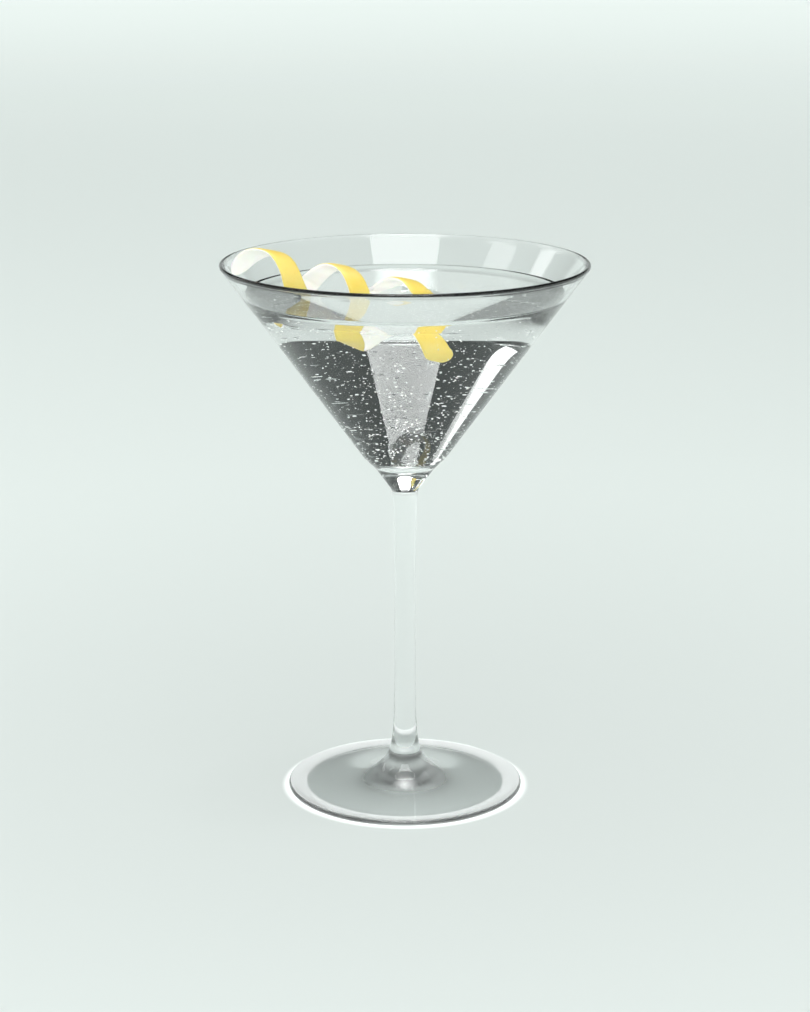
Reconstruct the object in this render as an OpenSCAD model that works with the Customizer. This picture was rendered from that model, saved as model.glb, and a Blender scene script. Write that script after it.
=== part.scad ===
// Martini cocktail: a stemmed cone glass, the clear drink in it and a spiral of lemon peel.
// Millimetres, +Z up, origin at the centre of the foot's underside.

/* [Glass] */
// Height from the table to the lip
glass_h = 173.4; // [140:0.2:210]
// Outer diameter of the rim
rim_d = 116; // [96:0.5:140]
// Angle between the bowl's wall and its axis, in degrees
wall_angle = 36; // [30:0.5:44]
// Thickness of the bowl's wall
wall = 1.35; // [1:0.05:2]
// Inner diameter where the cone turns into the floor of the bowl
floor_d = 22; // [18:0.5:28]
// Radius of the turn between the cone and the floor
floor_turn = 5; // [3:0.5:6]
// Dip of the floor at its centre
floor_dip = 0.8; // [0.2:0.1:1.5]
// Step by which the solid base under the bowl is set in
base_step = 1.1; // [0.4:0.1:1.6]

/* [Stem] */
// Diameter at the waist
waist_d = 6.8; // [5:0.1:9]
// Diameter at the top, under the bowl
stem_top_d = 8.2; // [6.5:0.1:10]
// Diameter near the foot, before the flare
stem_low_d = 7; // [6:0.1:10]

/* [Foot] */
// Outer diameter of the foot
foot_d = 76.4; // [60:0.2:92]
// Thickness of the foot at its edge
foot_edge = 1.5; // [1.2:0.1:2.5]
// Spread of the flare from the stem into the foot: its height times its radius
flare = 58; // [40:1:80]
// Width of the flat ring that the glass stands on
ring_w = 4.4; // [3:0.2:7]
// Height of the hollow under the foot at its centre
hollow_h = 2; // [0.5:0.1:2.8]

/* [Drink] */
// Level of the drink below the lip
level_drop = 10.4; // [6:0.2:22]
// Climb of the drink where it meets the wall
meniscus_h = 1.2; // [0.4:0.1:1.6]
// Reach of that climb from the wall
meniscus_reach = 1.7; // [1:0.1:2.5]

/* [Lemon twist] */
// Radius of the spiral at the middle of the peel
coil_r = 6.5; // [5:0.1:8]
// Depth of the spiral below its axis, as a share of that radius
coil_depth = 0.5; // [0.5:0.05:1]
// Distance between turns along the spiral's axis
coil_pitch = 22.8; // [18:0.2:27]
// Width of the strip of peel
peel_w = 6.7; // [5:0.1:8]
// Thickness of the peel
peel_t = 1.2; // [0.9:0.1:1.6]
// Crown of the strip across its width
peel_crown = 0.35; // [0.1:0.05:0.6]
// Tilt of the strip about its own length, in degrees
peel_lean = 2; // [0:1:8]
// Heading of the spiral's axis from +X towards +Y, in degrees
axis_heading = 21.5; // [10:0.5:35]
// Fall of the spiral's axis, in degrees
axis_fall = 14.6; // [10:0.2:18]
// Place of the first crest's axis in front of the glass's axis
twist_forward = 9; // [0:0.5:14]
// Height of the first crest's axis above the drink
twist_lift = 8.3; // [7:0.1:10.5]
// Clearance between the twist's end and the wall it leans on
lean_gap = 0.15; // [0.05:0.05:0.5]
// Turn at which the leaning end starts, in degrees before the first crest
turn_start = 110; // [100:1:118]
// Turn at which the sunk end stops, in degrees after the first crest
turn_end = 868; // [840:1:880]
// Opening of the leaning end: growth of the radius over 90 degrees
open_start = 5.4; // [3:0.1:6]
// Opening of the sunk end: growth of the radius over 90 degrees
open_end = 3.2; // [1:0.1:4]
// Length of the rounded tip at each end
tip_l = 4.5; // [3:0.1:6]

/* [Hidden] */
round_fn = 96; // facets of the preview only: the solids are true surfaces of revolution

rim_r = rim_d / 2;
foot_r = foot_d / 2;
lip_r = wall / 2;
wall_across = wall / cos(wall_angle); // the wall measured level
lip_centre = [rim_r - lip_r, glass_h - lip_r];
// the point of the lip where the cone's outer face starts, square to the wall
lip_out = lip_centre + lip_r * [cos(wall_angle), -sin(wall_angle)];
level_z = glass_h - level_drop;

// radius of the cone's outer and inner face at a height, and the height of either at a radius
function cone_r(z) = lip_out.x - (lip_out.y - z) * tan(wall_angle);
function cone_z(r) = lip_out.y - (lip_out.x - r) / tan(wall_angle);
function cone_in_r(z) = cone_r(z) - wall_across;
function cone_in_z(r) = cone_z(r + wall_across);

// larger of two radii, rounded where they meet: a higher power gives a tighter turn
function blend_max(a, b, power) = pow(pow(a, power) + pow(b, power), 1 / power);
// from 0 to 1 with level ends
function ease(t) = let (u = max(0, min(1, t))) u * u * (3 - 2 * u);

// the floor of the bowl: a shallow dish, and an arc that turns up into the cone
arc_steps = 6;
dish_steps = 5;
floor_z = cone_in_z(floor_d / 2);
turn_sweep = 90 - wall_angle;
dish_r = floor_d / 2 - floor_turn * tan(turn_sweep / 2);
floor_arc = [for (i = [0:arc_steps]) let (a = -90 + turn_sweep * i / arc_steps)
    [dish_r, floor_z + floor_turn] + floor_turn * [cos(a), sin(a)]];
floor_dish = [for (i = [0:dish_steps - 1]) let (u = i / dish_steps)
    [dish_r * u, floor_z - floor_dip * (1 - u * u)]];
floor_line = concat(floor_dish, floor_arc);

// the outside under the cone: solid base, stem and flare run into each other as one curve
base_top_z = floor_z + 1.5;
base_step_h = 5;
stem_top_z = cone_z(stem_top_d / 2 + base_step);
stem_low_z = 20;
waist_share = 0.62; // of the stem's height
waist_z = stem_low_z + (stem_top_z - stem_low_z) * waist_share;
flare_drop = flare / (foot_r - foot_edge / 2) - foot_edge;
flare_power = 4;
joint_power = 14;

function base_r(z) = max(0, cone_r(z) - base_step * ease((base_top_z - z) / base_step_h));
function stem_part(d, share) = waist_d / 2 + (d - waist_d) / 2 * min(1, share * share);
function stem_r(z) = z > waist_z ? stem_part(stem_top_d, (z - waist_z) / (stem_top_z - waist_z))
                                 : stem_part(stem_low_d, (waist_z - z) / (waist_z - stem_low_z));
function flare_r(z) = flare / (z + flare_drop);
function under_r(z) = blend_max(blend_max(stem_r(z), flare_r(z), flare_power), base_r(z), joint_power);

// heights from one to another in equal steps, without the first
function heights(low, high, steps) = [for (i = [1:steps]) low + (high - low) * i / steps];
flare_steps = 20;
flare_top_z = 24;
flare_grow = (flare_top_z + flare_drop) / (foot_edge + flare_drop);
flare_z = [for (i = [1:flare_steps])
    (foot_edge + flare_drop) * pow(flare_grow, i / flare_steps) - flare_drop];
joint_low_z = stem_top_z - 4;
joint_high_z = stem_top_z + 3;
under_line = [for (z = concat(flare_z,
                              heights(flare_top_z, joint_low_z, 11),
                              heights(joint_low_z, joint_high_z, 8),
                              heights(joint_high_z, base_top_z, 8))) [under_r(z), z]];

edge_centre = [foot_r - foot_edge / 2, foot_edge / 2];
foot_round = [for (i = [0:arc_steps]) let (a = -90 + 180 * i / arc_steps)
    edge_centre + foot_edge / 2 * [cos(a), sin(a)]];
hollow_steps = 8;
hollow_r = edge_centre.x - ring_w;
hollow_line = [for (i = [0:hollow_steps]) let (u = i / hollow_steps)
    [hollow_r * u, hollow_h * (1 - u * u)]];
lip_steps = 8;
lip_round = [for (i = [0:lip_steps]) let (a = -wall_angle + 180 * i / lip_steps)
    lip_centre + lip_r * [cos(a), sin(a)]];

// the drink's top: level, and climbing at the wall
contact_z = level_z + meniscus_h;
meniscus_steps = 6;
meniscus_span = 4; // reaches from the wall to where the drink is level
function climb(reaches) = (exp(-reaches) - exp(-meniscus_span)) / (1 - exp(-meniscus_span));
meniscus = [for (i = [0:meniscus_steps]) let (d = meniscus_span * pow(i / meniscus_steps, 1.6))
    [cone_in_r(contact_z) - d * meniscus_reach, level_z + meniscus_h * climb(d)]];

// directions of the spiral: along its axis, ahead (towards -Y) and above, square to each other
along = [cos(axis_fall) * cos(axis_heading), cos(axis_fall) * sin(axis_heading), -sin(axis_fall)];
ahead = [sin(axis_heading), -cos(axis_heading), 0];
above = cross(ahead, along);

// the strip's middle line at a turn in degrees from the first crest, opening at both ends
open_before = -10;
open_after = 780;
function opening(a) = open_start * pow(max(0, open_before - a) / 90, 2)
                    + open_end * pow(max(0, a - open_after) / 90, 2);
function out_dir(a) = above * cos(a) + ahead * sin(a);
function sunk(c) = c < 0 ? c * (1 + (1 - coil_depth) * c) : c; // flatter below the axis
function swing(a) = above * sunk(cos(a)) + ahead * sin(a);
function mid_line(a) = along * coil_pitch * a / 360 + swing(a) * (coil_r + opening(a));

// directions of the strip: along its run, to its side and out of its yellow face
function unit(v) = v / norm(v);
function run_dir(a) = unit(mid_line(a + 1) - mid_line(a - 1));
function side_dir(a) = let (side = unit(cross(out_dir(a), run_dir(a))))
    side * cos(peel_lean) + cross(run_dir(a), side) * sin(peel_lean);
function face_dir(a) = cross(run_dir(a), side_dir(a));

// turns at which the strip gets a ring of points: close together in the rounded tips
turn_step = 12;
tip_steps = 4;
tip_least = 0.18; // share of the width at the very end
turn_l = norm(mid_line(361) - mid_line(360)) * 360;
tip_turn = tip_l / turn_l * 360;
body_turn = turn_start + turn_end - 2 * tip_turn;
body_steps = ceil(body_turn / turn_step);
tip_turns = [for (i = [0:tip_steps - 1]) tip_turn * (1 - cos(90 * i / tip_steps))];
turns = concat([for (t = tip_turns) t - turn_start],
               [for (i = [0:body_steps]) tip_turn - turn_start + body_turn * i / body_steps],
               [for (i = [tip_steps - 1:-1:0]) turn_end - tip_turns[i]]);
function tip_share(a) = let (u = min(1, min(a + turn_start, turn_end - a) / tip_turn))
    max(tip_least, sqrt(1 - (1 - u) * (1 - u)));

// one ring: half widths across, thicknesses out; crowned outside, narrower at the pith
section = [[-1, 0.1], [-0.86, 0.42], [0, 0.5], [0.86, 0.42], [1, 0.1], [0.9, -0.42], [0, -0.5], [-0.9, -0.42]];
function crown(across) = peel_crown * (0.4 - across * across);
function ring(a) = let (share = tip_share(a))
    [for (p = section) mid_line(a) + side_dir(a) * (p.x * share * peel_w / 2)
                     + face_dir(a) * (p.y * peel_t + crown(p.x * share))];

free_rings = [for (a = turns) [for (p = ring(a)) p + [0, -twist_forward, level_z + twist_lift]]];
// the twist slides towards -X until its end leans on the wall
function room(p) = p.x + sqrt(pow(cone_in_r(p.z), 2) - p.y * p.y);
slide = min([for (r = free_rings, p = r) room(p)]) - lean_gap;
twist_points = [for (r = free_rings, p = r) p - [slide, 0, 0]];

ring_n = len(section);
last = (len(turns) - 1) * ring_n;
side_faces = [for (a = [0:ring_n:last - 1], j = [0:ring_n - 1]) let (b = a + j, c = a + (j + 1) % ring_n)
    each [[b, c + ring_n, b + ring_n], [b, c, c + ring_n]]];
end_faces = [for (j = [1:ring_n - 2]) each [[0, j + 1, j], [last, last + j, last + j + 1]]];

module glass() {
    color([0.86, 0.91, 0.90, 0.35])
        rotate_extrude($fn = round_fn)
            polygon(concat(
                hollow_line,
                foot_round,
                under_line,
                lip_round,
                [for (i = [len(floor_line) - 1:-1:0]) floor_line[i]]));
}

module twist() {
    color([0.98, 0.87, 0.36])
        polyhedron(points = twist_points, faces = concat(side_faces, end_faces), convexity = 10);
}

// the drink fills the bowl to its level and is cut round the twist
module drink() {
    color([0.90, 0.93, 0.90, 0.5])
        difference() {
            rotate_extrude($fn = round_fn)
                polygon(concat(floor_line, meniscus, [[0, level_z]]));
            twist();
        }
}

glass();
drink();
twist();
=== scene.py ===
# A martini cocktail: a stemmed cone glass, the clear drink in it and a twist of lemon peel.
# Metres, +Z up, origin at the centre of the foot's underside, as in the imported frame.
import math
import random

import bmesh
import bpy
from mathutils import Matrix, Vector, kdtree, noise


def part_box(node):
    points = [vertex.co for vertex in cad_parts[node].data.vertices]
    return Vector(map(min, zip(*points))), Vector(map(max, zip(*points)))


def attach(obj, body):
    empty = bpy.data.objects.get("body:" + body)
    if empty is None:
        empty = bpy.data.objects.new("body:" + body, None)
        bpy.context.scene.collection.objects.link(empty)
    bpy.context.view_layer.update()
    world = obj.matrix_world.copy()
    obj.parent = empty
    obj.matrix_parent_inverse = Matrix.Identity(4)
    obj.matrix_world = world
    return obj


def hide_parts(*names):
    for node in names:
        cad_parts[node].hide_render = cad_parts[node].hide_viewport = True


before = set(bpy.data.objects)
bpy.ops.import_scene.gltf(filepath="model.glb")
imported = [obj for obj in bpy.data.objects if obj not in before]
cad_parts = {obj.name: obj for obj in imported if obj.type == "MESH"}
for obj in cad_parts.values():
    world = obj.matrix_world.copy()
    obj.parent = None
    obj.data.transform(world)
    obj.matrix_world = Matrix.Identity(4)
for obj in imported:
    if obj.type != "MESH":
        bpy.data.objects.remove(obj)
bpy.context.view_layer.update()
print("frame loaded")
hair = 1e-6  # points nearer than this are one point


# small tools for shapes
def ease(share):  # 0 to 1, slow at both ends
    share = max(0, min(1, share))
    return share * share * (3 - 2 * share)


def steps(low, high, count):  # from low to high in equal steps, without low
    return [low + (high - low) * (index + 1) / count for index in range(count)]


def arc(centre, radius, start, sweep, count):
    turns = [start + sweep * index / count for index in range(count + 1)]
    return [(centre[0] + radius * math.cos(turn), centre[1] + radius * math.sin(turn)) for turn in turns]


def spun(outline, segments):  # a closed solid from an outline of radii and heights, axis to axis
    shape = bmesh.new()
    corners = [shape.verts.new((radius, 0, height)) for radius, height in outline]
    for first, second in zip(corners, corners[1:]):
        shape.edges.new((first, second))
    slices = 16
    turn = math.tau / slices
    bmesh.ops.spin(shape, geom=shape.verts[:] + shape.edges[:], cent=(0, 0, 0), axis=(0, 0, 1),
                   angle=turn, steps=segments // slices)
    while turn < math.tau:  # one slice, doubled until it goes all the way round
        copied = bmesh.ops.duplicate(shape, geom=shape.verts[:] + shape.edges[:] + shape.faces[:])["geom"]
        verts = [part for part in copied if isinstance(part, bmesh.types.BMVert)]
        bmesh.ops.rotate(shape, verts=verts, cent=(0, 0, 0), matrix=Matrix.Rotation(turn, 3, "Z"))
        turn *= 2
    bmesh.ops.remove_doubles(shape, verts=shape.verts[:], dist=hair)
    bmesh.ops.recalc_face_normals(shape, faces=shape.faces[:])
    if shape.calc_volume(signed=True) < 0:
        bmesh.ops.reverse_faces(shape, faces=shape.faces[:])
    return shape


# A piece rides on the one body. One that is lit through casts no shadow and isn't seen by diffuse light.
def piece(shape, name, materials, standsFor=None, litThrough=True):
    mesh = bpy.data.meshes.new(name)
    volume = shape.calc_volume(signed=True)
    shape.to_mesh(mesh)
    shape.free()
    mesh.shade_smooth()
    for material in materials:
        mesh.materials.append(material)
    made = bpy.data.objects.new(name, mesh)
    bpy.context.scene.collection.objects.link(made)
    made.visible_shadow = not litThrough
    made.visible_diffuse = not litThrough
    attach(made, "root")
    if standsFor:
        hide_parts(standsFor)
    print(f"{name}: {len(mesh.polygons)} faces, {volume * 1e9:.1f} cubic mm")
    return made


# small tools for materials
class Wire:  # a socket in ordinary arithmetic: each sign adds one Math node
    def __init__(self, graph, socket):
        self.graph = graph
        self.socket = socket

    def maths(self, operation, first, second):
        return self.graph.node("ShaderNodeMath", {"operation": operation}, {0: first, 1: second})

    def __add__(self, other):
        return self.maths("ADD", self, other)

    def __radd__(self, other):
        return self.maths("ADD", other, self)

    def __sub__(self, other):
        return self.maths("SUBTRACT", self, other)

    def __rsub__(self, other):
        return self.maths("SUBTRACT", other, self)

    def __mul__(self, other):
        return self.maths("MULTIPLY", self, other)

    def __rmul__(self, other):
        return self.maths("MULTIPLY", other, self)


class Graph:  # the nodes of a material or of the world
    def __init__(self, owner):
        owner.use_nodes = True
        self.owner = owner
        self.tree = owner.node_tree

    def feed(self, socket, value):
        if isinstance(value, Wire):
            self.tree.links.new(value.socket, socket)
        else:
            socket.default_value = value

    def node(self, kind, settings, sockets, output=0):
        made = self.tree.nodes.new(kind)
        for name, value in settings.items():
            setattr(made, name, value)
        for name, value in sockets.items():
            self.feed(made.inputs[name], value)
        return Wire(self, made.outputs[output])

    def shade(self, settings):  # values or wires for the sockets of the main shader
        for name, value in settings.items():
            self.feed(self.tree.nodes["Principled BSDF"].inputs[name], value)

    def place(self):
        return self.node("ShaderNodeTexCoord", {}, {}, "Object")

    def painted(self, name):  # a number kept on the mesh's points
        return self.node("ShaderNodeAttribute", {"attribute_name": name}, {}, "Fac")

    def grain(self, size, detail=2, roughness=0.5):  # soft noise whose features are that size
        sockets = {"Vector": self.place(), "Scale": 1 / size, "Detail": detail, "Roughness": roughness}
        return self.node("ShaderNodeTexNoise", {}, sockets)

    def band(self, value, low, high):  # 0 below low, 1 above high, eased between
        return self.node("ShaderNodeMapRange", {"interpolation_type": "SMOOTHSTEP"},
                         {"Value": value, "From Min": low, "From Max": high})

    def mix(self, share, first, second):
        return self.node("ShaderNodeMix", {"data_type": "RGBA"}, {0: share, 6: first, 7: second}, 2)

    def bump(self, height, distance):
        return self.node("ShaderNodeBump", {}, {"Height": height, "Distance": distance, "Strength": 1})


# the glass, blown in one piece: bowl, stem and foot
glass = {
    "wallAngle": math.radians(36),  # between the bowl's wall and its axis
    "wall": 0.00135,
    "floorWidth": 0.022,
    "floorTurn": 0.005,  # radius between floor and wall
    "floorDip": 0.0008,
    "baseThickness": 0.0015,
    "baseStep": 0.0011,  # how much the base draws in on its way down to the stem
    "baseStepHeight": 0.005,
    "baseBlend": 14,  # the higher the sharper the corner between two curves
    "stemTopWidth": 0.0082,
    "waistWidth": 0.0068,
    "waistShare": 0.62,  # of the way from the stem's low end to its top
    "stemLowWidth": 0.007,
    "stemLowHeight": 0.02,
    "kneeBelow": 0.004,  # the outline has finer steps from there under the stem's top
    "kneeAbove": 0.003,  # to there above it
    "flare": 0.000058,  # its height times its radius, in square metres
    "flareTop": 0.024,
    "flareBlend": 4,
    "footWidth": 0.0764,
    "footEdge": 0.0015,
    "ringWidth": 0.0044,
    "hollow": 0.002,
    "segments": 192,
    "steps": {"hollow": 16, "footEdge": 12, "flare": 44, "stem": 30, "knee": 20, "base": 20,
              "wall": 40, "lip": 14, "floor": 10, "floorTurn": 12},
    "joinGap": 0.0005,  # between the floor's end and the wall's first point
    "touch": 0.0001,  # faces nearer than this touch
    "tints": ((0.985, 0.995, 0.992, 1), (0.992, 0.998, 0.996, 1)),
    "smearRoughness": 0.03,
    "lipFade": (0.0016, 0.001),  # depths between which the lip's own finish fades in
    "lipRoughness": 0.16,
    "footRoughness": 0.3,  # of the hollow under the foot
    "ripple": 0.000002,
    "lipRipple": 22,  # times the ripple of the wall
}
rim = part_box("glass")[1]
slope = math.tan(glass["wallAngle"])
wallAcross = glass["wall"] / math.cos(glass["wallAngle"])
lipRadius = glass["wall"] / 2
lipCentre = (rim.x - lipRadius, rim.z - lipRadius)
lipEdge = arc(lipCentre, lipRadius, -glass["wallAngle"], math.pi, 1)[0]
floorRadius = glass["floorWidth"] / 2


def coneRadius(height):  # the bowl's outer face
    return lipEdge[0] - (lipEdge[1] - height) * slope


def coneHeight(radius):
    return lipEdge[1] - (lipEdge[0] - radius) / slope


def innerRadius(height):
    return coneRadius(height) - wallAcross


floorHeight = coneHeight(floorRadius + wallAcross)
baseTop = floorHeight + glass["baseThickness"]
stemTop = coneHeight(glass["stemTopWidth"] / 2 + glass["baseStep"])
waist = glass["stemLowHeight"] + (stemTop - glass["stemLowHeight"]) * glass["waistShare"]
edgeRadius = glass["footEdge"] / 2
edgeCentre = (glass["footWidth"] / 2 - edgeRadius, edgeRadius)
flareDrop = glass["flare"] / edgeCentre[0] - glass["footEdge"]


def floorLine():  # the floor of the bowl, from its axis to where the cone starts
    count = glass["steps"]["floor"]
    sweep = math.pi / 2 - glass["wallAngle"]
    dishRadius = floorRadius - glass["floorTurn"] * math.tan(sweep / 2)
    shares = [index / count for index in range(count)]
    dish = [(dishRadius * share, floorHeight - glass["floorDip"] * (1 - share * share)) for share in shares]
    turnCentre = (dishRadius, floorHeight + glass["floorTurn"])
    return dish + arc(turnCentre, glass["floorTurn"], -math.pi / 2, sweep, glass["steps"]["floorTurn"])


def underRadius(height):  # base, stem and flare run into each other as one curve
    if height > waist:
        endWidth = glass["stemTopWidth"]
        share = (height - waist) / (stemTop - waist)
    else:
        endWidth = glass["stemLowWidth"]
        share = (waist - height) / (waist - glass["stemLowHeight"])
    stem = (glass["waistWidth"] + (endWidth - glass["waistWidth"]) * min(1, share * share)) / 2
    flare = glass["flare"] / (height + flareDrop)
    step = glass["baseStep"] * ease((baseTop - height) / glass["baseStepHeight"])
    base = max(0, coneRadius(height) - step)
    return blendMax(blendMax(stem, flare, glass["flareBlend"]), base, glass["baseBlend"])


def blendMax(first, second, power):  # the larger of two radii, rounded where they meet
    return (first ** power + second ** power) ** (1 / power)


def glassOutline():  # from the axis under the foot, up the outside, over the lip and down to the floor
    count = glass["steps"]
    hollowRadius = edgeCentre[0] - glass["ringWidth"]
    shares = [0] + steps(0, 1, count["hollow"])
    hollow = [(hollowRadius * share, glass["hollow"] * (1 - share * share)) for share in shares]
    footEdge = arc(edgeCentre, edgeRadius, -math.pi / 2, math.pi, count["footEdge"])
    low = glass["footEdge"] + flareDrop
    grow = (glass["flareTop"] + flareDrop) / low
    kneeLow = stemTop - glass["kneeBelow"]
    kneeHigh = stemTop + glass["kneeAbove"]
    heights = [low * grow ** share - flareDrop for share in steps(0, 1, count["flare"])]
    heights += steps(glass["flareTop"], kneeLow, count["stem"])
    heights += steps(kneeLow, kneeHigh, count["knee"])
    heights += steps(kneeHigh, baseTop, count["base"])
    heights += steps(baseTop, lipEdge[1], count["wall"])[:-1]
    under = [(underRadius(height), height) for height in heights]
    lip = arc(lipCentre, lipRadius, -glass["wallAngle"], math.pi, count["lip"])
    floor = floorLine()
    inner = [(innerRadius(height), height) for height in steps(lip[-1][1], floorHeight, count["wall"])
             if height > floor[-1][1] + glass["joinGap"]]
    return hollow + footEdge + under + lip + inner + floor[::-1]


# Faces where glass and drink touch don't glint: they get the second finish.
def markWetted(shape, isWetted):
    for face in shape.faces:
        middle = face.calc_center_median()
        face.material_index = int(isWetted(math.hypot(middle.x, middle.y), middle.z))


def markUnderside(shape):  # the hollow under the foot is ground a little dull: the third finish
    for face in shape.faces:
        low = face.calc_center_median().z < glass["hollow"] + glass["touch"]
        if low and face.normal.z < -0.9:  # it faces down
            face.material_index = 2


def glassFinish(name, glint, dull=0):
    graph = Graph(bpy.data.materials.new(name))
    height = graph.node("ShaderNodeSeparateXYZ", {}, {"Vector": graph.place()}, "Z")
    lip = graph.band(height, *[rim.z - depth for depth in glass["lipFade"]])
    smears = graph.band(graph.grain(0.006, 4, 0.6), 0.62, 0.8)
    ripples = graph.grain(0.009, 1) + lip * graph.grain(0.004, 2) * glass["lipRipple"]
    graph.shade({
        "Base Color": graph.mix(graph.grain(0.02), *glass["tints"]),
        "Roughness": smears * glass["smearRoughness"] + lip * glass["lipRoughness"] + dull,
        "Normal": graph.bump(ripples, glass["ripple"]),
        "IOR": 1.5,
        "Transmission Weight": 1.0,
        "Specular Tint": glint,
    })
    return graph.owner


fullGlint = (1, 1, 1, 1)
noGlint = (0, 0, 0, 1)
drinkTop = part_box("drink")[1].z
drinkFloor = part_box("drink")[0].z


def touchesDrink(radius, height):
    inside = radius < innerRadius(height) + glass["touch"]
    return inside and drinkFloor - glass["touch"] < height < drinkTop


glassShape = spun(glassOutline(), glass["segments"])
markWetted(glassShape, touchesDrink)
markUnderside(glassShape)
glassFinishes = [
    glassFinish("blownGlass", fullGlint),
    glassFinish("wettedGlass", noGlint),
    glassFinish("groundGlass", fullGlint, glass["footRoughness"]),
]
piece(glassShape, "coneGlass", glassFinishes, "glass")


# the twist: one strip of lemon peel in a loose spiral
twist = {
    "radius": 0.0065,  # of the coil, at the middle of the peel
    "depthShare": 0.5,  # depth of the coil below its axis, of that radius
    "pitch": 0.0228,
    "width": 0.0067,
    "thickness": 0.0012,
    "crown": 0.00035,  # how much its yellow face bulges
    "crownLevel": 0.4,  # share of the crown that stands above the strip's middle
    "lean": math.radians(2),
    "heading": math.radians(21.5),
    "fall": math.radians(14.6),
    "forward": 0.009,
    "lift": 0.0083,
    "firstTurn": -110,  # degrees from the first crest
    "lastTurn": 868,
    "openBefore": -10,  # the coil opens before this turn and after the next
    "openAfter": 780,
    "openFirst": 0.0054,
    "openLast": 0.0032,
    "tip": 0.0045,
    "leastShare": 0.12,  # of the width, at the very tips
    "stations": 560,
    "around": 40,
    "sidePower": 0.42,  # of the strip's section: 1 is round, 0 is square
    "facePower": 0.62,
    "channel": 0.16,  # how fast the section narrows towards its pith
    "knifeWander": 0.00022,  # unevenness of the cut edges
    "wanderRoom": 0.6,  # the share of it that the width leaves free
    "longWave": 0.006,
    "shortWave": 0.0016,
    "shortShare": 0.35,
    "pithShare": 0.93,  # of the pith's full thickness, and how much it varies
    "pithUneven": 0.14,
    "pithWave": 0.004,
    "zestEdge": (0.12, 0.24),  # depths in the strip, as shares of its thickness, where pith turns to zest
    "raggedness": 0.16,
    "pitSize": 0.0011,
    "zestTints": ((0.86, 0.655, 0.13, 1), (0.88, 0.70, 0.205, 1)),
    "pitTint": (0.84, 0.605, 0.09, 1),
    "pithTints": ((0.995, 0.96, 0.915, 1), (0.99, 0.945, 0.885, 1)),
}
meniscus = {"height": 0.0012, "reach": 0.0017, "span": 4}
level = drinkTop - meniscus["height"]


def twistDirections():
    fall = twist["fall"]
    heading = twist["heading"]
    along = Vector((math.cos(fall) * math.cos(heading), math.cos(fall) * math.sin(heading), -math.sin(fall)))
    ahead = Vector((math.sin(heading), -math.cos(heading), 0))
    return along, ahead, ahead.cross(along)


def outward(turn):
    along, ahead, above = twistDirections()
    return above * math.cos(math.radians(turn)) + ahead * math.sin(math.radians(turn))


def midLine(turn):
    opening = twist["openFirst"] * (max(0, twist["openBefore"] - turn) / 90) ** 2
    opening += twist["openLast"] * (max(0, turn - twist["openAfter"]) / 90) ** 2
    along, ahead, above = twistDirections()
    rise = math.cos(math.radians(turn))
    if rise < 0:
        rise *= 1 + (1 - twist["depthShare"]) * rise
    swing = above * rise + ahead * math.sin(math.radians(turn))
    return along * (twist["pitch"] * turn / 360) + swing * (twist["radius"] + opening)


# The strip at one turn: its middle, its side, its yellow face's direction, its share of the width, its run.
def station(turn):
    run = (midLine(turn + 1) - midLine(turn - 1)).normalized()
    side = outward(turn).cross(run).normalized()
    side = side * math.cos(twist["lean"]) + run.cross(side) * math.sin(twist["lean"])
    perTurn = (midLine(361) - midLine(360)).length
    left = min(turn - twist["firstTurn"], twist["lastTurn"] - turn) * perTurn
    share = min(1, left / twist["tip"])
    widthShare = max(twist["leastShare"], math.sqrt(1 - (1 - share) ** 2))
    return midLine(turn), side, run.cross(side), widthShare, turn * perTurn


def squarer(value, power):  # a sine or cosine, closer to a square wave
    return math.copysign(abs(value) ** power, value)


def ringPoints(turn):  # the strip's section there: each point and how far it is through the thickness
    middle, side, face, share, run = station(turn)
    points = []
    for index in range(twist["around"]):
        angle = math.tau * index / twist["around"]
        across = squarer(math.cos(angle), twist["sidePower"])
        depth = squarer(math.sin(angle), twist["facePower"]) / 2
        if depth < 0:
            across *= 1 + twist["channel"] * depth
        wander = noise.noise(Vector((run / twist["longWave"], across * 2, 3))) * twist["knifeWander"]
        nicks = noise.noise(Vector((run / twist["shortWave"], across * 2, 8))) * twist["knifeWander"]
        wander += nicks * twist["shortShare"]
        half = share * twist["width"] / 2 - twist["knifeWander"] * twist["wanderRoom"] + wander
        crown = twist["crown"] * (twist["crownLevel"] - (across * share) ** 2)
        thick = depth * twist["thickness"]
        if depth < 0:
            uneven = noise.noise(Vector((run / twist["pithWave"], across, 20)))
            thick *= twist["pithShare"] + twist["pithUneven"] * uneven
        points.append((middle + side * (across * half) + face * (thick + crown), depth))
    return points


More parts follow.
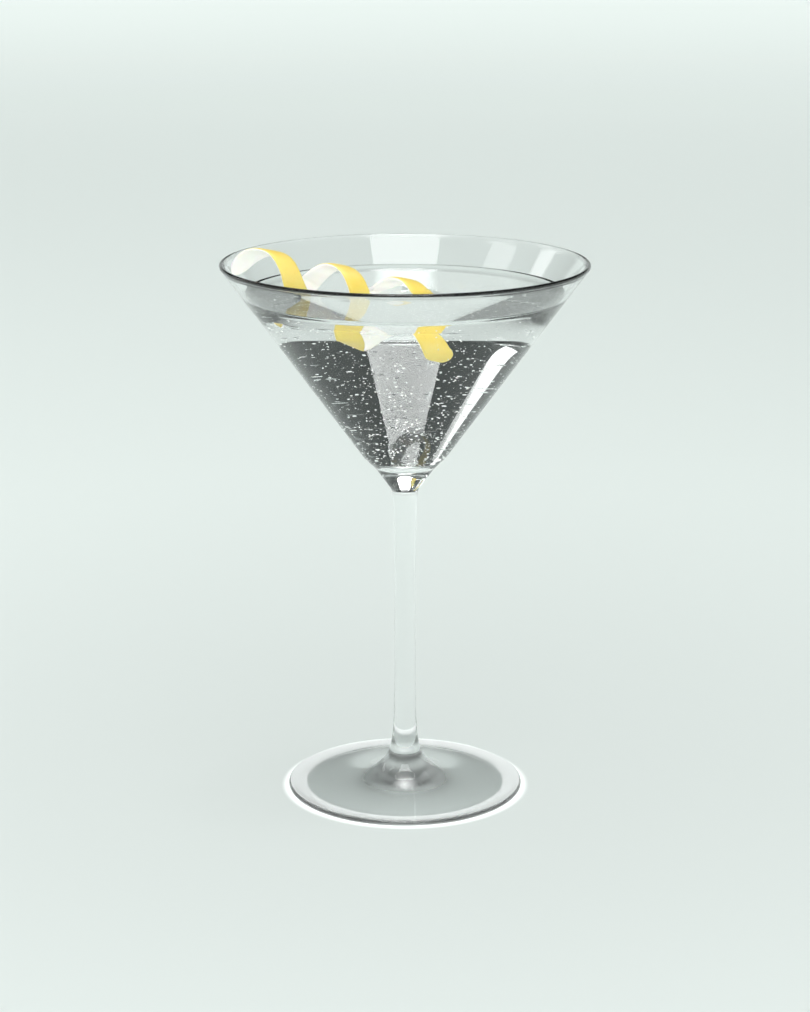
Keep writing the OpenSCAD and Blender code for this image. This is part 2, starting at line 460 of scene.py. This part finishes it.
def twistShape():
    turns = [twist["firstTurn"] + (twist["lastTurn"] - twist["firstTurn"]) * index / (twist["stations"] - 1)
             for index in range(twist["stations"])]
    start = Vector((0, -twist["forward"], level + twist["lift"]))
    shape = bmesh.new()
    order = shape.verts.layers.int.new("order")
    paint = shape.verts.layers.float.new("depth")

    def settle(verts, turn):
        points = ringPoints(turn)
        for vert in verts:
            place, depth = points[vert[order]]
            vert.co = start + place
            vert[paint] = depth

    ring = bmesh.ops.create_circle(shape, segments=twist["around"], radius=twist["width"])["verts"]
    for index, vert in enumerate(ring):
        vert[order] = index
    edges = shape.edges[:]
    settle(ring, turns[0])
    bmesh.ops.contextual_create(shape, geom=edges)
    for turn in turns[1:]:
        grown = bmesh.ops.extrude_edge_only(shape, edges=edges)["geom"]
        edges = [part for part in grown if isinstance(part, bmesh.types.BMEdge)]
        settle([part for part in grown if isinstance(part, bmesh.types.BMVert)], turn)
    bmesh.ops.contextual_create(shape, geom=edges)
    bmesh.ops.triangulate(shape, faces=[face for face in shape.faces if len(face.verts) > 4])
    bmesh.ops.recalc_face_normals(shape, faces=shape.faces[:])
    slide = min(vert.co.x for vert in shape.verts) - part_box("twist")[0].x
    bmesh.ops.translate(shape, verts=shape.verts[:], vec=(-slide, 0, 0))
    return shape


def peelFinish():
    graph = Graph(bpy.data.materials.new("lemonPeel"))
    depth = graph.painted("depth")
    ragged = depth + (graph.grain(0.0012, 3) - 0.5) * twist["raggedness"]
    zest = graph.band(ragged, *twist["zestEdge"])
    pits = graph.node("ShaderNodeTexVoronoi", {"feature": "SMOOTH_F1"},
                      {"Vector": graph.place(), "Scale": 1 / twist["pitSize"], "Smoothness": 0.4}, "Distance")
    pitted = 1 - graph.band(pits, 0.0, 0.32)
    ripe = graph.mix(graph.band(graph.grain(0.009, 3), 0.32, 0.68), *twist["zestTints"])
    ripe = graph.mix(pitted * 0.35, ripe, twist["pitTint"])
    pale = graph.mix(graph.grain(0.004, 3), *twist["pithTints"])
    graph.shade({
        "Base Color": graph.mix(zest, pale, ripe),
        "Roughness": 0.55 - zest * 0.17 + pitted * 0.08,
        "Normal": graph.bump(graph.grain(0.0007, 3) * (1 - zest) * 0.6 - pitted * zest, 0.00009),
        "Subsurface Weight": 0.3,
        "Subsurface Radius": (0.0022, 0.0015, 0.0005),
        "Subsurface Scale": 1.0,
        "Specular IOR Level": 0.45,
    })
    return graph.owner


peelShape = twistShape()
peelPoints = [vert.co.copy() for vert in peelShape.verts]
piece(peelShape, "lemonTwist", [peelFinish()], "twist", litThrough=False)


# the drink, which climbs a little where it meets the wall and the peel
drink = {
    "sink": 0.0002,  # how far it reaches into the wall
    "rings": 110,
    "ringPower": 1.25,  # above 1 the rings crowd together at the wall
    "wallSteps": 60,
    "segments": 320,
    "peelClimb": 0.0009,
    "peelReach": 0.0011,
    "peelNear": 0.0008,  # points of the peel this near the surface are where it comes out
    "tints": ((0.975, 0.985, 0.98, 1), (0.985, 0.992, 0.985, 1)),
    "ripple": 0.000002,
}


def climb(reaches):  # share of the meniscus left at that many reaches from what it climbs
    least = math.exp(-meniscus["span"])
    return max(0, (math.exp(-reaches) - least) / (1 - least))


def drinkShape():
    sinkAcross = drink["sink"] / math.cos(glass["wallAngle"])
    floor = [(radius, height - drink["sink"]) for radius, height in floorLine()[:-1]]
    contact = innerRadius(drinkTop)
    wall = [(innerRadius(height) + sinkAcross, height)
            for height in [floorHeight] + steps(floorHeight, drinkTop, drink["wallSteps"])]
    wall = [point for point in wall if point[0] > floor[-1][0] + glass["touch"]]
    shares = [0] + steps(0, 1, drink["rings"])
    top = [(contact * (1 - share ** drink["ringPower"]), level) for share in shares]
    shape = spun(floor + wall + top, drink["segments"])
    wet = [point for point in peelPoints if abs(point.z - level) < drink["peelNear"]]
    tree = kdtree.KDTree(len(wet))
    for index, point in enumerate(wet):
        tree.insert((point.x, point.y, 0), index)
    tree.balance()
    for vert in shape.verts:
        radius = math.hypot(vert.co.x, vert.co.y)
        if abs(vert.co.z - level) < hair and radius < contact + hair:
            fromPeel = tree.find((vert.co.x, vert.co.y, 0))[2]
            lift = meniscus["height"] * climb((contact - radius) / meniscus["reach"])
            lift += drink["peelClimb"] * math.exp(-fromPeel / drink["peelReach"])
            vert.co.z += min(lift, meniscus["height"])
    return shape


def drinkFinish(name, glint):
    graph = Graph(bpy.data.materials.new(name))
    graph.shade({
        "Base Color": graph.mix(graph.grain(0.02), *drink["tints"]),
        "Roughness": 0.0,
        "Normal": graph.bump(graph.grain(0.012, 1), drink["ripple"]),
        "IOR": 1.36,
        "Transmission Weight": 1.0,
        "Specular Tint": glint,
    })
    return graph.owner


def touchesGlass(radius, height):
    return radius > innerRadius(height) or height < floorHeight


clearShape = drinkShape()
markWetted(clearShape, touchesGlass)
drinkFinishes = [drinkFinish("clearSpirit", fullGlint), drinkFinish("wettingSpirit", noGlint)]
piece(clearShape, "clearDrink", drinkFinishes, "drink")


# what floats in the drink: bubbles and grains of ice
specks = {
    "bubbles": 500,
    "bubbleRadius": (0.00008, 0.0003),
    "bubblePower": 2.2,  # the higher the more small ones there are
    "bubbleSquash": 0.85,
    "bubbleTints": ((0.97, 0.98, 0.98, 1), (1, 1, 1, 1)),
    "grains": 1900,
    "grainRadius": (0.00009, 0.00034),
    "grainPower": 2.5,
    "grainDents": 0.35,
    "grainStretch": ((1, 1.3), (0.75, 1), (0.7, 0.9)),  # least and most along each axis
    "grainTilt": 0.6,  # how steeply a grain may lie
    "grainTints": ((0.90, 0.94, 0.93, 1), (0.98, 0.99, 0.98, 1)),
    "clearance": 0.0012,
    "margin": 0.001,  # to the drink's surface and floor
    "sinkPower": 1.3,  # above 1 more of them are near the surface
    "wallShare": 0.45,  # of them keep to the wall, within the wall's band
    "wallBand": 0.0005,
    "frontEdge": -0.004,  # most of those in front of this Y are left out
    "leftOut": 0.85,
    "seed": 7,
}
peelTree = kdtree.KDTree(len(peelPoints))
for peelIndex, peelPoint in enumerate(peelPoints):
    peelTree.insert(peelPoint, peelIndex)
peelTree.balance()


def speckPlace(draw):  # more of them behind the peel and near the wall
    while True:
        span = level - floorHeight - 2 * specks["margin"]
        height = level - specks["margin"] - span * draw.random() ** specks["sinkPower"]
        room = innerRadius(height) - specks["clearance"]
        radius = room * math.sqrt(draw.random())
        if draw.random() < specks["wallShare"]:
            radius = room - specks["wallBand"] * draw.random()
        turn = draw.uniform(0, math.tau)
        place = Vector((radius * math.cos(turn), radius * math.sin(turn), height))
        inFront = place.y < specks["frontEdge"]
        clear = peelTree.find(place)[2] > specks["clearance"]
        if clear and not (inFront and draw.random() < specks["leftOut"]):
            return place


def scattered(count, makeSpeck, draw):  # many small closed shapes joined into one
    whole = bmesh.new()
    for index in range(count):
        one = bmesh.new()
        makeSpeck(one, index, draw)
        bmesh.ops.translate(one, verts=one.verts[:], vec=speckPlace(draw))
        mesh = bpy.data.meshes.new("speck")
        one.to_mesh(mesh)
        one.free()
        whole.from_mesh(mesh)
        bpy.data.meshes.remove(mesh)
    return whole


def bubble(one, index, draw):
    low, high = specks["bubbleRadius"]
    radius = low + (high - low) * draw.random() ** specks["bubblePower"]
    bmesh.ops.create_uvsphere(one, u_segments=8, v_segments=6, radius=radius)
    bmesh.ops.scale(one, verts=one.verts[:], vec=(1, 1, draw.uniform(specks["bubbleSquash"], 1)))


def grain(one, index, draw):
    low, high = specks["grainRadius"]
    radius = low + (high - low) * draw.random() ** specks["grainPower"]
    bmesh.ops.create_uvsphere(one, u_segments=7, v_segments=5, radius=radius)
    for vert in one.verts:
        dent = noise.noise(vert.co / radius * 1.1 + Vector((index * 5, 0, 0)))
        vert.co *= 1 + specks["grainDents"] * dent
    stretch = [draw.uniform(least, most) for least, most in specks["grainStretch"]]
    bmesh.ops.scale(one, verts=one.verts[:], vec=stretch)
    tilt = specks["grainTilt"]
    lie = Vector((draw.uniform(-1, 1), draw.uniform(-1, 1), draw.uniform(-tilt, tilt)))
    matrix = lie.to_track_quat("X", "Z").to_matrix()
    bmesh.ops.rotate(one, verts=one.verts[:], cent=(0, 0, 0), matrix=matrix)


def bubbleFinish():
    graph = Graph(bpy.data.materials.new("airBubble"))
    graph.shade({
        "Base Color": graph.mix(graph.grain(0.01), *specks["bubbleTints"]),
        "Roughness": 0.0,
        "IOR": 1.33,
        "Transmission Weight": 1.0,
    })
    return graph.owner


def iceFinish():
    graph = Graph(bpy.data.materials.new("frostyIce"))
    graph.shade({
        "Base Color": graph.mix(graph.grain(0.0006), *specks["grainTints"]),
        "Roughness": graph.grain(0.0008) * 0.4 + 0.1,
        "IOR": 1.31,
        "Transmission Weight": 0.45,
    })
    return graph.owner


speckDraw = random.Random(specks["seed"])
piece(scattered(specks["bubbles"], bubble, speckDraw), "bubbles", [bubbleFinish()])
piece(scattered(specks["grains"], grain, speckDraw), "iceGrains", [iceFinish()])


# floor, world, lights and camera
studio = {
    "floorRadius": 12,
    "floorDrop": 0.0001,  # keeps the floor clear of the foot's flat ring
    # painted shade: the floor's colour is darker near the glass and lighter far off, evening out how the
    # lamps light it
    "floorNear": (0.63, 0.678, 0.659, 1),
    "floorFar": (0.745, 0.807, 0.781, 1),
    "floorReach": (0, 0.45),  # distances between which near turns to far
    "farGlow": (0.36, 0.392, 0.378, 1),  # of the floor
    "farGlowReach": (0.2, 4.4),
    # painted shadow: a grey disc on the floor under the foot
    "paintedFootShadow": (0.52, 0.575, 0.557, 1),
    # painted light: a bright ring on the floor round the foot, which also glows
    "paintedLightRing": (0.93, 0.97, 0.96, 1),
    "ringGlow": (0.13, 0.13, 0.13, 1),
    "ringStart": (0.0318, 0.0326),
    "ringEnd": (0.0385, 0.041),
    # the world: haze low down, shade above it and in front, a glow high at the back, a bright dome on top
    "haze": (0.74, 0.80, 0.775, 1),
    "shade": (0.035, 0.040, 0.039, 1),
    "glow": (0.42, 0.45, 0.44, 1),
    "dome": (13.5, 13.7, 13.6, 1),
    "hazeEdge": (10, 15.4),  # degrees of elevation
    "glowEdge": (44, 50),
    "domeEdge": (76, 82),
    "frontEdge": (-0.45, -0.15),  # Y of the direction
    "backEdge": (0.25, 0.35),
    "lens": 88.6,
    "sensor": 36,
    "cameraPlace": (0, -0.7708, 0.30158),
    "cameraDown": 15.044,  # degrees
    "focus": (0, 0, 0.14),  # what the panels face
    # heading from +Y towards +X and elevation in degrees, distance, width, height, radiance, seen in glass
    "panels": {
        "upperPanel": (180, 73.8, 3.2, 1.87, 0.76, 5.4, True),
        "lowerPanel": (180, 57.8, 3.2, 1.87, 1.06, 2.9, True),
        "sidePanel": (-92, 49, 1.3, 0.45, 0.17, 1.5, True),
        "stripPanel": (-54, 28, 1.3, 0.22, 0.6, 2.0, True),
        "frontPanel": (188, 16, 2.5, 1.5, 1.5, 4.6, False),
    },
}


def studioFloor():
    shape = bmesh.new()
    bmesh.ops.create_circle(shape, cap_ends=True, segments=128, radius=studio["floorRadius"])
    bmesh.ops.translate(shape, verts=shape.verts[:], vec=(0, 0, -studio["floorDrop"]))
    mesh = bpy.data.meshes.new("studioFloor")
    shape.to_mesh(mesh)
    shape.free()
    made = bpy.data.objects.new("studioFloor", mesh)
    bpy.context.scene.collection.objects.link(made)
    graph = Graph(bpy.data.materials.new("paleFloor"))
    away = graph.node("ShaderNodeVectorMath", {"operation": "LENGTH"}, {0: graph.place()}, 1)
    # painted shadow: the floor under the foot is a grey disc out to ringStart
    ringStart = graph.band(away, *studio["ringStart"])
    ringEnd = graph.band(away, *studio["ringEnd"])
    # painted shade: the floor's colour is darker near the glass and lighter far off
    plain = graph.mix(graph.band(away, *studio["floorReach"]), studio["floorNear"], studio["floorFar"])
    # painted light: a bright ring from ringStart to ringEnd, which glows as well
    ring = graph.mix(ringEnd, studio["paintedLightRing"], plain)
    glow = graph.mix(graph.band(away, *studio["farGlowReach"]), (0, 0, 0, 1), studio["farGlow"])
    graph.shade({
        "Base Color": graph.mix(ringStart, studio["paintedFootShadow"], ring),
        "Emission Color": graph.mix(ringStart - ringEnd, glow, studio["ringGlow"]),
        "Emission Strength": 1,
        "Roughness": 0.9,
        "Specular IOR Level": 0.1,
    })
    mesh.materials.append(graph.owner)


def sines(degrees):  # elevations, as the Z of a direction gives them
    return [math.sin(math.radians(angle)) for angle in degrees]


def studioWorld():
    world = bpy.data.worlds.new("studioWorld")
    bpy.context.scene.world = world
    graph = Graph(world)
    direction = graph.node("ShaderNodeTexCoord", {}, {}, "Generated")
    rise = graph.node("ShaderNodeSeparateXYZ", {}, {"Vector": direction}, "Z")
    back = graph.node("ShaderNodeSeparateXYZ", {}, {"Vector": direction}, "Y")
    aboveHaze = graph.band(rise, *sines(studio["hazeEdge"]))
    aboveShade = graph.band(rise, *sines(studio["glowEdge"]))
    inDome = graph.band(rise, *sines(studio["domeEdge"]))
    colour = graph.mix(aboveHaze, studio["haze"], studio["shade"])
    colour = graph.mix(graph.band(back, *studio["frontEdge"]), studio["shade"], colour)
    colour = graph.mix(aboveShade * graph.band(back, *studio["backEdge"]), colour, studio["glow"])
    colour = graph.mix(inDome, colour, studio["dome"])
    graph.feed(graph.tree.nodes["Background"].inputs["Color"], colour)


def studioPanel(name, heading, elevation, distance, width, height, radiance, seen):
    light = bpy.data.lights.new(name, "AREA")
    light.shape = "RECTANGLE"
    light.size = width
    light.size_y = height
    light.energy = radiance * math.pi * width * height
    heading = math.radians(heading)
    elevation = math.radians(elevation)
    away = Vector((math.cos(elevation) * math.sin(heading), math.cos(elevation) * math.cos(heading),
                   math.sin(elevation)))
    made = bpy.data.objects.new(name, light)
    made.location = Vector(studio["focus"]) + away * distance
    made.rotation_euler = away.to_track_quat("Z", "Y").to_euler()
    made.visible_glossy = seen
    made.visible_transmission = seen
    bpy.context.scene.collection.objects.link(made)


def camera():
    view = bpy.data.cameras.new("camera")
    view.lens = studio["lens"]
    view.sensor_width = studio["sensor"]
    made = bpy.data.objects.new("camera", view)
    made.location = studio["cameraPlace"]
    made.rotation_euler = (math.radians(90 - studio["cameraDown"]), 0, 0)
    bpy.context.scene.collection.objects.link(made)
    bpy.context.scene.camera = made


studioFloor()
studioWorld()
for panelName, panelPlace in studio["panels"].items():
    studioPanel(panelName, *panelPlace)
camera()
bpy.context.scene.view_settings.view_transform = "Standard"
print("studio ready")
